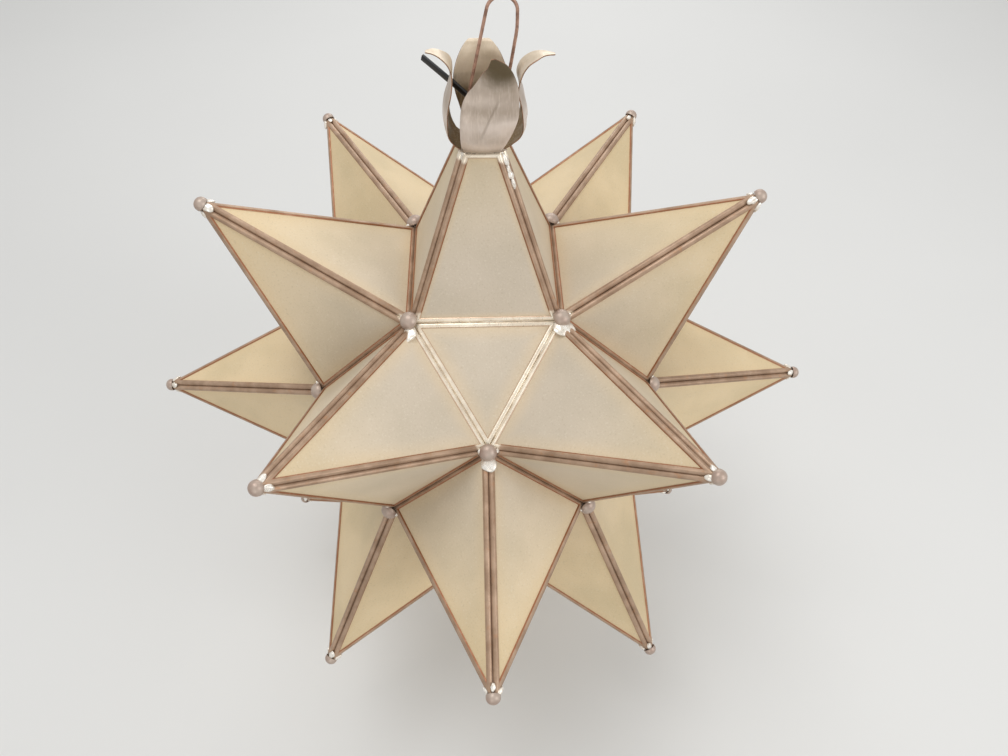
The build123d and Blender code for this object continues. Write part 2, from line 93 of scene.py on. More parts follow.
def door_inset(angle):
    """The same for the door's cames, which keep further from their fixed neighbours."""
    fixed = inset(angle)
    return fixed * cos(angle) + sqrt(door_pitch**2 - (fixed * sin(angle)) ** 2)


side_inset = inset(ridge_angle) / sin(atan2(slope_length, half_side))


def point_corners(base_inset):
    """The came's middle line round a pane of a point, drawn flat with its base on the X axis."""
    reach = half_side * (1 - base_inset / slope_length) - side_inset
    tip = slope_length * (1 - side_inset / half_side)
    return [Vector((-reach, base_inset, 0)), Vector((reach, base_inset, 0)), Vector((0, tip, 0))]


def neck_corners(base_inset):
    """The same for a pane of the neck, which is cut off flat."""
    top = slope_length * (1 - neck_top_width / (2 * half_side)) - came_radius / sin(slope)
    low_reach = half_side * (1 - base_inset / slope_length) - side_inset
    top_reach = half_side * (1 - top / slope_length) - side_inset
    return [Vector((-low_reach, base_inset, 0)), Vector((low_reach, base_inset, 0)),
            Vector((top_reach, top, 0)), Vector((-top_reach, top, 0))]


def around(turn):
    """The way that lies on the XY plane at this turn from X, in degrees."""
    return Vector((cos(radians(turn)), sin(radians(turn)), 0))


def triangle_corners():
    """The same for a bare triangle, about its middle."""
    reach = 2 * half_side / sqrt(3) - 2 * inset(triangle_valley)
    return [around(turn) * reach for turn in (210, 330, 90)]


def standing(across, out, origin):
    """The place whose local X looks along across and whose local Z looks out."""
    out = Vector(out).normalized()
    across = Vector(across).normalized()
    place = Matrix((across, out.cross(across), out)).transposed().to_4x4()
    place.translation = origin
    return place


def facing(out, across, reach):
    """The face of the star that looks out this way."""
    return standing(across, out, star_centre + Vector(out).normalized() * reach)


def side(turn):
    """One side of a point, whose square lies on the XY plane."""
    out = around(turn)
    facing_out = out * sin(slope) + Vector((0, 0, cos(slope)))
    return standing((-out.y, out.x, 0), facing_out, out * half_side)


# Points on a face touch other points along all four sides; points on an edge touch them
# along two sides and bare triangles along the other two
face_points = {"front": facing((0, -1, 0), (1, 0, 1), square_reach),
               "back": facing((0, 1, 0), (1, 0, 1), square_reach)}
edge_points = {"right": facing((1, 0, 0), (0, 0, 1), square_reach),
               "left": facing((-1, 0, 0), (0, 0, 1), square_reach)}
for height, lift in (("upper", 1), ("lower", -1)):
    for hand, way in (("right", 1), ("left", -1)):
        face_points[f"{height}_{hand}"] = facing((way, 0, lift), (0, 1, 0), square_reach)
        for depth, back in (("front", -1), ("back", 1)):
            out = Vector((way, back * sqrt(2), lift))
            across = Vector((-way, 0, lift)).cross(out)
            edge_points[f"{height}_{depth}_{hand}"] = facing(out, across, square_reach)
neck_place = facing((0, 0, 1), (1, 0, 0), square_reach)
door_place = facing((0, 0, -1), (1, 0, 0), square_reach)
triangle_places = []
for x, y, z in ((1, -1, 0), (1, 1, 0), (-1, -1, 0), (-1, 1, 0),
                (0, -1, 1), (0, 1, 1), (0, -1, -1), (0, 1, -1)):
    out = Vector((x * sqrt(2), y, z * sqrt(2)))
    triangle_places.append(facing(out, Vector((0, y, 0)).cross(out), triangle_reach))

# The solid's 24 corners, from its centre; the door's four carry no cap
star_corners = []
for long_axis in range(3):
    for signs in ((a, b, c) for a in (-1, 1) for b in (-1, 1) for c in (-1, 1)):
        reach = [sign * half_side for sign in signs]
        reach[long_axis] *= 1 + sqrt(2)
        across, along, up = reach
        star_corners.append(Vector(((across - along) / sqrt(2), -up, (across + along) / sqrt(2))))
capped_corners = [corner for corner in star_corners if corner.z > half_side / 2 - square_reach]


# ---- Shader maths ----
class Value:
    """A socket of a material's nodes, with arithmetic."""

    def __init__(self, tree, socket):
        self.tree = tree
        self.socket = socket

    def maths(self, operation, *others):
        node = self.tree.nodes.new("ShaderNodeMath")
        node.operation = operation
        for slot, other in enumerate((self, *others)):
            if isinstance(other, Value):
                self.tree.links.new(other.socket, node.inputs[slot])
            else:
                node.inputs[slot].default_value = other
        return Value(self.tree, node.outputs[0])

    def __add__(self, other):
        return self.maths("ADD", other)

    __radd__ = __add__

    def __sub__(self, other):
        return self.maths("SUBTRACT", other)

    def __rsub__(self, other):
        return (self * -1) + other

    def __mul__(self, other):
        return self.maths("MULTIPLY", other)

    __rmul__ = __mul__

    def __abs__(self):
        return self.maths("ABSOLUTE")

    def larger(self, other):
        return self.maths("MAXIMUM", other)

    def smaller(self, other):
        return self.maths("MINIMUM", other)

    def ramp(self, low, high, start=0.0, end=1.0):
        """A smooth step from start, where the value is low, to end, where it is high."""
        node = self.tree.nodes.new("ShaderNodeMapRange")
        node.interpolation_type = "SMOOTHSTEP"
        limits = {"From Min": low, "From Max": high, "To Min": start, "To Max": end}
        for name, number in limits.items():
            node.inputs[name].default_value = number
        self.tree.links.new(self.socket, node.inputs["Value"])
        return Value(self.tree, node.outputs["Result"])


class Finish:
    """A material being mixed: its nodes, its Principled shader and the ways to feed it."""

    def __init__(self, name, **fixed):
        self.material = bpy.data.materials.new(name)
        self.material.use_nodes = True
        self.tree = self.material.node_tree
        self.tree.nodes.clear()
        self.shader = self.tree.nodes.new("ShaderNodeBsdfPrincipled")
        out = self.tree.nodes.new("ShaderNodeOutputMaterial")
        self.tree.links.new(self.shader.outputs[0], out.inputs["Surface"])
        for key, value in fixed.items():
            self.shader.inputs[key.replace("_", " ")].default_value = value
        self.place = self.node("ShaderNodeTexCoord", "Object")

    def node(self, kind, output, settings=None, **inputs):
        """Any other node: its type, the output to use, its settings and its sockets."""
        made = self.tree.nodes.new(kind)
        for key, value in (settings or {}).items():
            setattr(made, key, value)
        for key, value in inputs.items():
            socket = made.inputs[key.replace("_", " ")]
            if isinstance(value, Value):
                self.tree.links.new(value.socket, socket)
            else:
                socket.default_value = value
        return Value(self.tree, made.outputs[output])

    def noise(self, scale, detail, roughness, stretch=None, distortion=0.0):
        """Cloudy noise from 0 to 1; scale counts features per metre."""
        place = self.place
        if stretch:
            place = self.node("ShaderNodeMapping", "Vector", Vector=place, Scale=stretch)
        return self.node("ShaderNodeTexNoise", "Fac", Vector=place, Scale=scale, Detail=detail,
                         Roughness=roughness, Distortion=distortion)

    def colour(self, share, first, second):
        """The second colour over the first, by share."""
        made = self.tree.nodes.new("ShaderNodeMix")
        made.data_type = "RGBA"
        fac_socket, first_socket, second_socket = made.inputs[0], made.inputs[6], made.inputs[7]
        for socket, value in ((fac_socket, share), (first_socket, first), (second_socket, second)):
            if isinstance(value, Value):
                self.tree.links.new(value.socket, socket)
            elif hasattr(value, "__len__"):
                socket.default_value = (*value, 1.0)
            else:
                socket.default_value = value
        return Value(self.tree, made.outputs[2])

    def vector_maths(self, operation, output, vector, other):
        made = self.node("ShaderNodeVectorMath", output, {"operation": operation}, Vector=vector)
        made.socket.node.inputs[1].default_value = other
        return made

    def along(self, origin, way):
        """How far a place lies from origin along way."""
        moved = self.vector_maths("SUBTRACT", "Vector", self.place, origin)
        return self.vector_maths("DOT_PRODUCT", "Value", moved, way)

    def away(self, origin):
        """How far a place lies from origin."""
        return self.vector_maths("DISTANCE", "Value", self.place, origin)

    def feed(self, **inputs):
        for key, value in inputs.items():
            self.tree.links.new(value.socket, self.shader.inputs[key.replace("_", " ")])

    def bump(self, height, strength, distance):
        self.feed(Normal=self.node("ShaderNodeBump", "Normal", Height=height, Strength=strength,
                                   Distance=distance))


def linear(red, green, blue):
    """A colour picked as it looks, from 0 to 255, as the shader wants it."""
    parts = [each / 255 for each in (red, green, blue)]
    return tuple(((part + 0.055) / 1.055) ** 2.4 if part > 0.04045 else part / 12.92 for part in parts)


# ---- Finishes ----
# The front-upper bare triangle was tinned bright, and its tin carries a painted highlight too; the ways go
# from its middle to its sides
front_triangle_out = Vector((0, -1, sqrt(2))).normalized()
front_triangle = star_centre + front_triangle_out * triangle_reach
front_triangle_ways = [Matrix.Rotation(radians(turn), 3, front_triangle_out)
                       @ Vector((0, sqrt(2), 1)).normalized() for turn in (0, 120, 240)]
triangle_inradius = half_side / sqrt(3)


def frosted_glass():
    """Frosted panes, greyer in the middle near the front triangle and yellower away from it, a painted
    tint for the light on the far and lower panes; yellower towards their cames.
    """
    finish = Finish("frosted_glass", IOR=1.45, Specular_IOR_Level=0.35)
    grain = finish.noise(700, 3, 0.6)
    cloud = finish.noise(13, 3, 0.55)
    drift = finish.noise(5, 2, 0.5)
    edge = finish.node("ShaderNodeAttribute", "Fac", {"attribute_name": "edge"})
    grey = finish.colour(cloud.ramp(0.25, 0.75), linear(208, 195, 177), linear(196, 184, 165))
    # Painted light: the far and lower panes get a warmer tint, the same glass lit from below
    painted_warm_light = finish.colour(cloud.ramp(0.35, 0.68), linear(228, 205, 164), linear(212, 191, 150))
    painted_light_share = finish.away(front_triangle).ramp(60 * MM, 230 * MM, 0.0, 0.85)
    middle = finish.colour(painted_light_share, grey, painted_warm_light)
    border = finish.colour(drift.ramp(0.35, 0.65), linear(230, 203, 162), linear(216, 191, 149))
    border_share = edge.ramp(0.0, 1.0, 0.0, 0.6) * cloud.ramp(0.25, 0.6, 1.0, 0.6)
    pane_colour = finish.colour(border_share, middle, border)
    speck = finish.colour(grain.ramp(0.56, 0.7) * 0.35, pane_colour, linear(226, 217, 200))
    pit = finish.colour(grain.ramp(0.3, 0.42, 0.3, 0.0), speck, linear(170, 156, 126))
    finish.feed(Base_Color=pit, Roughness=grain.ramp(0.3, 0.7, 0.42, 0.6))
    finish.bump(grain, 0.3, 0.3 * MM)
    return finish.material


def came_metal():
    """Rose-brown patina, with bright tin where the solder ran, lightened as a painted highlight where it
    faces the front.
    """
    finish = Finish("came_metal", Specular_IOR_Level=0.5)
    mottle = finish.noise(55, 4, 0.6)
    streak = finish.noise(420, 2, 0.5)
    scuff = finish.noise(170, 3, 0.7)
    patina = finish.colour(mottle.ramp(0.3, 0.7), linear(182, 154, 130), linear(150, 122, 99))
    patina = finish.colour(scuff.ramp(0.55, 0.75, 0.0, 0.6), patina, linear(176, 128, 90))
    patina = finish.colour(scuff.ramp(0.25, 0.4, 0.25, 0.0), patina, linear(112, 86, 66))
    lip = finish.node("ShaderNodeAttribute", "Fac", {"attribute_name": "lip"})
    copper = lip.ramp(0.1, 0.6, 0.0, 0.9) * scuff.ramp(0.3, 0.5, 0.6, 1.0)
    patina = finish.colour(copper, patina, linear(150, 92, 54))
    # The tin, with its painted highlight, lies along the front triangle's three sides and on the front of
    # the neck's rim
    sides = [finish.along(front_triangle + way * triangle_inradius, way) for way in front_triangle_ways]
    nearest = sides[0].larger(sides[1]).larger(sides[2])
    level = abs(finish.along(front_triangle, front_triangle_out))
    run = abs(nearest).ramp(5.5 * MM, 7.5 * MM, 1.0, 0.0) * level.ramp(6 * MM, 9 * MM, 1.0, 0.0)
    ragged_height = finish.along(neck_top, (0, 0, 1)) + mottle * 9 * MM
    forward = finish.along(neck_top, (0, -1, 0))
    rim = ragged_height.ramp(-2.5 * MM, 0.5 * MM) * forward.ramp(9 * MM, 12 * MM)
    tin_and_highlight = (run.larger(rim) * streak.ramp(0.2, 0.32, 0.75, 1.0)).smaller(1.0)
    # The tin's colour, kept near white as a painted highlight
    tin_highlight_colour = finish.colour(mottle.ramp(0.35, 0.65), linear(244, 233, 214), linear(222, 208, 188))
    tin_highlight_colour = finish.colour(scuff.ramp(0.6, 0.72, 0.0, 0.35), tin_highlight_colour, linear(190, 160, 124))
    tin_highlight_colour = finish.colour(lip.ramp(0.35, 1.0, 0.0, 0.7), tin_highlight_colour, linear(176, 124, 80))
    finish.feed(Base_Color=finish.colour(tin_and_highlight, patina, tin_highlight_colour), Metallic=tin_and_highlight * 0.1 + 0.35,
                Roughness=scuff.ramp(0.3, 0.7, 0.36, 0.5) - tin_and_highlight * 0.12)
    finish.bump((streak + scuff) * (0.5 - tin_and_highlight * 0.2), 0.3, 0.4 * MM)
    return finish.material


def cap_metal():
    """Pressed caps, grey with a little rose in it."""
    finish = Finish("cap_metal", Specular_IOR_Level=0.4)
    mottle = finish.noise(110, 3, 0.5)
    fine = finish.noise(1400, 2, 0.5)
    base = finish.colour(mottle.ramp(0.3, 0.7), linear(184, 168, 155), linear(170, 148, 135))
    finish.feed(Base_Color=base, Roughness=fine.ramp(0.3, 0.7, 0.36, 0.48),
                Metallic=mottle.ramp(0.2, 0.8, 0.25, 0.4))
    finish.bump(fine, 0.15, 0.2 * MM)
    return finish.material


# Where the painted shade on the front petal's outward-bent tip and along the crease below it lies
front_petal_tip = neck_top + Vector((12.5, -26.5, 67)) * MM
front_petal_crease = neck_top + Vector((5, -24, 30)) * MM
crease_out = Vector((0.9, 0.1, -0.42)).normalized()


def petal_metal(name, light, dark, streaked, metallic, foot, upper):
    """Brushed sheet, clouded, with painted light and shade: painted shade on the front petal's tip, which
    bends out and faces down, and along a crease below it, which is also dented.

    It is painted dark below foot, under the outer sheet's curled foot and deep in the cup inside, painted
    light above it with painted reflection bands, and as light as upper says past the petals' middle."""
    finish = Finish(name, Specular_IOR_Level=0.5)
    cloud = finish.noise(60, 4, 0.6, distortion=0.5)
    # Broad flat bands: painted reflections in the colour, shallow ripples in the bump
    painted_bands_and_ripple = finish.noise(34, 1, 0.4, stretch=(0.5, 0.5, 2.2))
    brush = finish.noise(260, 3, 0.6, stretch=(3.5, 3.5, 0.4))
    height = finish.along(neck_top, (0, 0, 1))
    # Painted light and shade by height, with painted reflection bands on the lit part; the cloud adds real
    # mottle
    painted_light_by_height = height.ramp(foot - 4 * MM, foot + 6 * MM) * height.ramp(24 * MM, 36 * MM, 1.0, upper)
    painted_light_and_mottle = (painted_light_by_height * (painted_bands_and_ripple.ramp(0.38, 0.62, 0.7, 1.0) + cloud.ramp(0.3, 0.7, -0.15, 0.15))).smaller(1.0)
    base = finish.colour(painted_light_and_mottle, dark, light)
    base = finish.colour(brush.ramp(0.45, 0.75, 0.0, 0.3), base, streaked)
    # Painted shade on the front petal's tip, which bends out and faces down
    painted_tip_shade = (finish.away(front_petal_tip) + cloud * 9 * MM).ramp(12 * MM, 27 * MM, 1.0, 0.0)
    # Painted shade along the crease below the tip; the bump dents the crease as well
    off_crease = abs(finish.along(front_petal_crease, crease_out) + cloud * 3 * MM - 1.5 * MM)
    near_crease = finish.away(front_petal_crease).ramp(9 * MM, 17 * MM, 1.0, 0.0)
    crease_dent_and_shade = off_crease.ramp(0.3 * MM, 1.4 * MM, 1.0, 0.0) * near_crease
    base = finish.colour(crease_dent_and_shade * 0.35, base, linear(120, 104, 88))
    finish.feed(Base_Color=finish.colour(painted_tip_shade * 0.92, base, linear(84, 72, 46)),
                Roughness=brush.ramp(0.3, 0.7, 0.3, 0.44),
                Metallic=cloud.ramp(0.2, 0.8, metallic - 0.1, metallic))
    finish.bump(brush * 0.15 + cloud * 0.6 + painted_bands_and_ripple * 1.6 - crease_dent_and_shade * 0.5, 0.3, 1.5 * MM)
    return finish.material


def plain_metal(name, first, second, rough, metallic):
    """Cast, rolled or plated metal with a little mottle."""
    finish = Finish(name)
    mottle = finish.noise(180, 3, 0.6)
    fine = finish.noise(1600, 2, 0.5)
    finish.feed(Base_Color=finish.colour(mottle.ramp(0.35, 0.65), first, second),
                Roughness=fine.ramp(0.3, 0.7, rough - 0.06, rough + 0.08),
                Metallic=mottle.ramp(0.3, 0.7, metallic - 0.05, metallic))
    finish.bump(fine, 0.15, 0.2 * MM)
    return finish.material


def moulded(name, first, second, rough):
    """Moulded plastic, rubber or opal glass."""
    finish = Finish(name)
    mottle = finish.noise(90, 2, 0.5)
    fine = finish.noise(2200, 2, 0.5)
    finish.feed(Base_Color=finish.colour(mottle, first, second),
                Roughness=fine.ramp(0.3, 0.7, rough - 0.05, rough + 0.07))
    finish.bump(fine, 0.1, 0.1 * MM)
    return finish.material


glass = frosted_glass()
came = came_metal()
cap = cap_metal()
# The outside is painted in shade below 4 mm, where it curls under, and painted dimmer past its middle; the
# inside is painted in shade deep in the cup, below 26 mm
petals = petal_metal("petal_metal", linear(220, 205, 193), linear(150, 132, 112),
                     linear(232, 219, 206), metallic=0.45, foot=4 * MM, upper=0.55)
petal_inside = petal_metal("petal_inside", linear(234, 217, 193), linear(138, 116, 84),
                           linear(240, 228, 210), metallic=0.2, foot=26 * MM, upper=1.0)
petal_rim = plain_metal("petal_rim", linear(150, 112, 84), linear(112, 82, 60), 0.45, 0.5)
wire = plain_metal("copper_wire", linear(190, 150, 130), linear(140, 106, 90), 0.34, 0.45)
zinc = plain_metal("zinc_plate", linear(170, 166, 156), linear(146, 142, 132), 0.4, 0.9)
dull_brass = plain_metal("dull_brass", linear(140, 118, 92), linear(112, 92, 72), 0.45, 0.7)
core_copper = plain_metal("bare_copper", linear(214, 168, 132), linear(190, 140, 104), 0.35, 0.6)
solder = plain_metal("solder", linear(244, 240, 232), linear(222, 212, 198), 0.26, 0.4)
black = moulded("black_sheath", linear(14, 14, 15), linear(24, 24, 26), 0.32)
bakelite = moulded("black_holder", linear(24, 22, 22), linear(34, 31, 30), 0.3)
porcelain = moulded("white_core", linear(214, 210, 200), linear(200, 196, 186), 0.5)
opal = moulded("opal_bulb", linear(236, 233, 224), linear(228, 225, 214), 0.25)
bulb_metal = plain_metal("bulb_cap", linear(196, 192, 184), linear(176, 172, 164), 0.3, 0.9)


def dress(node, material):
    nodes[node].data.materials.clear()
    nodes[node].data.materials.append(material)


for name in nodes:
    if name.endswith("_cames"):
        dress(name, came)
    elif name.endswith("_glass") and name != "bulb_glass":
        dress(name, glass)
    elif name.endswith("_petal") or name == "flower_base":
        dress(name, petals)
for name, material in {
    "corner_caps": cap, "tip_caps": cap, "door_tip_cap": cap, "hanging_loop": wire,
    "supply_cord": black, "neck_plate": zinc, "nipple": zinc, "nipple_nuts": zinc,
    "holder_cap": bakelite, "holder_shell": bakelite, "holder_core": porcelain,
    "bulb_cap": bulb_metal, "bulb_glass": opal, "door_knuckle": dull_brass,
    "frame_knuckles": dull_brass, "hinge_pin": dull_brass, "door_tabs": dull_brass,
}.items():
    dress(name, material)

# ---- Camera, light and floor ----
photo_width = 1008
focal_px = 787.36
sensor_width = 36
camera = bpy.data.objects.new("camera", bpy.data.cameras.new("camera"))
bpy.context.collection.objects.link(camera)
camera.data.sensor_width = sensor_width
camera.data.lens = sensor_width * focal_px / photo_width
looking = Vector((0.027, 0.638, -0.770)).normalized()
upward = Vector((0.020, 0.770, 0.638))
rightward = looking.cross(upward).normalized()
upward = rightward.cross(looking)
camera.location = star_centre + Vector((-2.9, -471.3, 568.8)) * MM
camera.rotation_euler = Matrix((rightward, upward, -looking)).transposed().to_euler()
camera.data.clip_end = 50
bpy.context.scene.camera = camera


def lamp(name, offset, size, power):
    """A soft round light of this power in watts, this far from the star's middle, turned to it."""
    data = bpy.data.lights.new(name, "AREA")
    data.shape = "DISK"
    data.size = size
    data.energy = power
    made = bpy.data.objects.new(name, data)
    bpy.context.collection.objects.link(made)
    place = star_centre + Vector(offset)
    made.location = place
    made.rotation_euler = (star_centre - place).to_track_quat("-Z", "Y").to_euler()


lamp("key_light", (-0.5, 0.1, 2.1), size=1.3, power=19)
lamp("fill_light", (1.7, -1.1, 1.0), size=1.4, power=15)
lamp("front_light", (-0.6, -2.1, 0.5), size=1.2, power=5.5)
lamp("back_light", (0.3, 1.9, 1.0), size=1.3, power=9)

# The room lights the star less than it shows to the camera and in the metal and glass
room_light = 0.6
room_seen = 0.95
world = bpy.data.worlds.new("studio")
bpy.context.scene.world = world
world.use_nodes = True
room = world.node_tree
backdrop = room.nodes["Background"]
backdrop.inputs["Color"].default_value = (0.86, 0.86, 0.85, 1)
rays = room.nodes.new("ShaderNodeLightPath")
seen = Value(room, rays.outputs["Is Camera Ray"])
for kind in ("Is Glossy Ray", "Is Transmission Ray"):
    seen = seen.larger(Value(room, rays.outputs[kind]))
strength = seen * (room_seen - room_light) + room_light
room.links.new(strength.socket, backdrop.inputs["Strength"])

floor_size = 6.0
floor_drop = 3 * MM
bpy.ops.object.select_all(action="DESELECT")
floor_place = (star_centre.x, star_centre.y, cad_box[0][2] - floor_drop)
bpy.ops.mesh.primitive_plane_add(size=floor_size, location=floor_place)
floor = bpy.context.object
floor.name = "floor"
bpy.ops.object.transform_apply(location=True)
floor_finish = Finish("floor_paper", Roughness=0.8)
floor_cloud = floor_finish.noise(3, 2, 0.5)
floor_finish.feed(Base_Color=floor_finish.colour(floor_cloud, (0.72, 0.72, 0.71), (0.75, 0.75, 0.74)))
# From below it is see-through, so that the star shows
floor_below = floor_finish.node("ShaderNodeNewGeometry", "Backfacing")
see_through = floor_finish.node("ShaderNodeBsdfTransparent", "BSDF")
floor_mix = floor_finish.node("ShaderNodeMixShader", "Shader", Fac=floor_below)
floor_surface = floor_finish.tree.nodes["Material Output"].inputs["Surface"]
for source, socket in ((floor_finish.shader.outputs[0], floor_mix.socket.node.inputs[1]),
                       (see_through.socket, floor_mix.socket.node.inputs[2]),
                       (floor_mix.socket, floor_surface)):
    floor_finish.tree.links.new(source, socket)
floor.data.materials.append(floor_finish.material)

# ---- The cord ----
# The route's points in mm, from the neck's top
cord_points = [(0.0, 0.0, 1.0), (0.0, 0.0, 9.5), (-0.8, 4.6, 15.8), (-3.0, 11.0, 19.4),
               (-8.0, 15.2, 23.4), (-14.4, 16.9, 28.8), (-22.0, 19.35, 34.6),
               (-30.4, 24.9, 39.4), (-39.0, 31.0, 43.8)]
neck_rim = Vector((neck_top.x, 0, neck_top.z - 0.15 * MM))
cord_tilt = radians(-62)
core_radius = 1.3 * MM


def supply_cord():
    """The flat twin cord, as one curve with a figure-of-eight section."""
    section = bpy.data.curves.new("cord_section", "CURVE")
    section.dimensions = "2D"
    outline = section.splines.new("NURBS")
    ring = [(hand * core_radius * (1 + cos(radians(turn))), hand * core_radius * sin(radians(turn)))
            for hand in (1, -1) for turn in range(-75, 76, 30)]
    outline.points.add(len(ring) - 1)
    for point, (across, up) in zip(outline.points, ring):
        point.co = (across, up, 0, 1)
    outline.use_cyclic_u = True
    shape = bpy.data.objects.new("cord_section", section)
    bpy.context.collection.objects.link(shape)
    line = bpy.data.curves.new("supply_cord_line", "CURVE")
    line.dimensions = "3D"
    line.bevel_mode = "OBJECT"
    line.bevel_object = shape
    line.use_fill_caps = True
    line.resolution_u = 16
    spline = line.splines.new("NURBS")
    spline.points.add(len(cord_points) - 1)
    for point, place in zip(spline.points, cord_points):
        point.co = (*(neck_rim + Vector(place) * MM), 1)
        point.tilt = cord_tilt
    spline.order_u = 3
    spline.use_endpoint_u = True
    cord = bpy.data.objects.new("supply_cord_sheath", line)
    bpy.context.collection.objects.link(cord)
    line.materials.append(black)
    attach(cord, "star")
    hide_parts("supply_cord")
    return cord


cord = supply_cord()


# ---- Modelling helpers ----
weld_gap = 0.02 * MM


def choose(*chosen):
    """Select these objects alone, the first of them active."""
    bpy.ops.object.select_all(action="DESELECT")
    for each in chosen:
        each.select_set(True)
    bpy.context.view_layer.objects.active = chosen[0]


def edit(made):
    """Into edit mode with everything selected."""
    choose(made)
    bpy.ops.object.mode_set(mode="EDIT")
    bpy.ops.mesh.select_all(action="SELECT")


def edit_faces(made, chosen):
    """Into edit mode with only the faces selected that pass the test."""
    edit(made)
    bpy.ops.mesh.select_mode(type="FACE")
    bpy.ops.mesh.select_all(action="DESELECT")
    bpy.ops.object.mode_set(mode="OBJECT")
    for face in made.data.polygons:
        face.select = chosen(face)
    bpy.ops.object.mode_set(mode="EDIT")


def leave_edit():
    """Out of edit mode, with points to be selected again the next time."""
    bpy.ops.mesh.select_mode(type="VERT")
    bpy.ops.object.mode_set(mode="OBJECT")


def extrude(way):
    bpy.ops.mesh.extrude_region_move(TRANSFORM_OT_translate={"value": way})


def close(made):
    """Weld the mesh, turn its faces outward and leave edit mode."""
    edit(made)
    bpy.ops.mesh.remove_doubles(threshold=weld_gap)
    bpy.ops.mesh.normals_make_consistent(inside=False)
    leave_edit()


def smooth(made, angle):
    """Shade the piece smooth, apart from edges sharper than this angle."""
    choose(made)
    bpy.ops.object.shade_smooth_by_angle(angle=radians(angle))


def finished(made, modifier, **settings):
    """Add a modifier to the piece and apply it."""
    choose(made)
    added = made.modifiers.new(modifier.lower(), modifier)
    for key, value in settings.items():
        setattr(added, key, value)
    bpy.ops.object.modifier_apply(modifier=added.name)


def baked(made):
    """Put what moved the object into its mesh."""
    choose(made)
    bpy.ops.object.transform_apply(location=True, rotation=True, scale=True)


def copied(model, places):
    """Copies of a model, each with its own mesh, at these places."""
    made = []
    for place in places:
        each = model.copy()
        each.data = model.data.copy()
        each.data.transform(place)
        bpy.context.collection.objects.link(each)
        made.append(each)
    return made


def joined(parts, name):
    """One object from many, under a new name."""
    choose(*parts)
    bpy.ops.object.join()
    whole = bpy.context.object
    whole.name = name
    whole.data.name = name
    return whole


def dropped(*models):
    """Take away the models that copies were made from."""
    for model in models:
        bpy.data.objects.remove(model)


def clamped(number):
    return max(0.0, min(1.0, number))


def piece(made, body, slot, material, *replaced):
    """Give a finished piece its finish and its body, and hide the CAD nodes that it stands for."""
    if material:
        made.data.materials.clear()
        made.data.materials.append(material)
    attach(made, body)
    if replaced:
        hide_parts(*replaced)
    return made


# ---- Cames and panes ----
came_sides = 24
pane_play = 0.1 * MM
border_width = 3 * MM
fade_width = 14 * MM
narrow_fade_width = 4.5 * MM


def came_rod(before, start, end, after):
    """One straight run of a rolled came, with its groove, cut to its mitres."""
    way = (end - start).normalized()
    bpy.ops.mesh.primitive_circle_add(vertices=came_sides, radius=came_radius)
    rod = bpy.context.object
    # The three points that face the pane go in to form the groove; the ones beside them are its lips
    side_turn = 2 * pi / came_sides
    beside = came_radius * sin(side_turn)
    lip = rod.data.attributes.new("lip", "FLOAT", "POINT")
    for vertex, share in zip(rod.data.vertices, lip.data):
        share.value = clamped((vertex.co.x / came_radius - 0.3) * 1.7)
        if vertex.co.x > came_radius * cos(1.5 * side_turn):
            vertex.co.x = -groove_reach
            vertex.co.y = groove_half * round(vertex.co.y / beside)
    # Made longer than the run at both ends, then cut on the planes between neighbouring runs
    margin = 6 * came_radius
    inward = Vector((0, 0, 1)).cross(way)
    place = Matrix((inward, Vector((0, 0, 1)), way)).transposed().to_4x4()
    place.translation = start - way * margin
    rod.data.transform(place)
    edit(rod)
    extrude(way * ((end - start).length + 2 * margin))
    into = (start - before).normalized() + way
    out_of = way + (after - end).normalized()
    bpy.ops.mesh.select_all(action="SELECT")
    bpy.ops.mesh.bisect(plane_co=start, plane_no=into, clear_inner=True)
    bpy.ops.mesh.select_all(action="SELECT")
    bpy.ops.mesh.bisect(plane_co=end, plane_no=out_of, clear_outer=True)
    leave_edit()
    return rod


def came_ring(corners):
    """The mitred came round one pane."""
    count = len(corners)
    rods = [came_rod(*(corners[(k + step) % count] for step in (-1, 0, 1, 2))) for k in range(count)]
    ring = joined(rods, "came_model")
    close(ring)
    smooth(ring, 35)
    return ring


def pane(corners):
    """A pane in its groove. Its edge attribute fades from the came, over two inset outlines, to 0."""
    count = len(corners)
    bpy.ops.mesh.primitive_circle_add(vertices=count, radius=1, fill_type="NGON")
    plate = bpy.context.object
    points = plate.data.vertices
    order = sorted(range(count), key=lambda k: atan2(points[k].co.y, points[k].co.x))
    middle = sum(corners, Vector()) / count
    turns = sorted(corners, key=lambda corner: atan2(corner.y - middle.y, corner.x - middle.x))
    for k, corner in zip(order, turns):
        at = corners.index(corner)
        before = (corner - corners[at - 1]).normalized()
        after = (corners[(at + 1) % count] - corner).normalized()
        bevel = (before - after).normalized()
        half_turn = before.angle(-after) / 2
        points[k].co = corner + bevel * (groove_reach - pane_play) / sin(half_turn)
    plate.data.transform(Matrix.Translation((0, 0, -glass_thickness / 2)))
    edit(plate)
    extrude((0, 0, glass_thickness))
    bpy.ops.mesh.select_all(action="SELECT")
    bpy.ops.mesh.normals_make_consistent(inside=False)
    leave_edit()
    edit_faces(plate, lambda face: abs(face.normal.z) > 0.9)
    bpy.ops.mesh.inset(thickness=border_width)
    bpy.ops.mesh.inset(thickness=narrow_fade_width if count > 3 else fade_width)
    leave_edit()
    edge = plate.data.attributes.new("edge", "FLOAT", "POINT")
    for vertex, value in zip(plate.data.vertices, edge.data):
        nearest = min((vertex.co - start).cross((end - start).normalized()).length
                      for start, end in zip(corners, corners[1:] + corners[:1]))
        value.value = 1 if nearest < border_width / 2 else 0.75 if nearest < 2 * border_width else 0
    return plate


def point_set(model_across, model_along, places):
    """The four cames or panes of each of these points."""
    ways = [(model_across, turn) for turn in (0, 180)] + [(model_along, turn) for turn in (90, 270)]
    return [[each for model, turn in ways for each in copied(model, [place @ side(turn)])]
            for place in places]


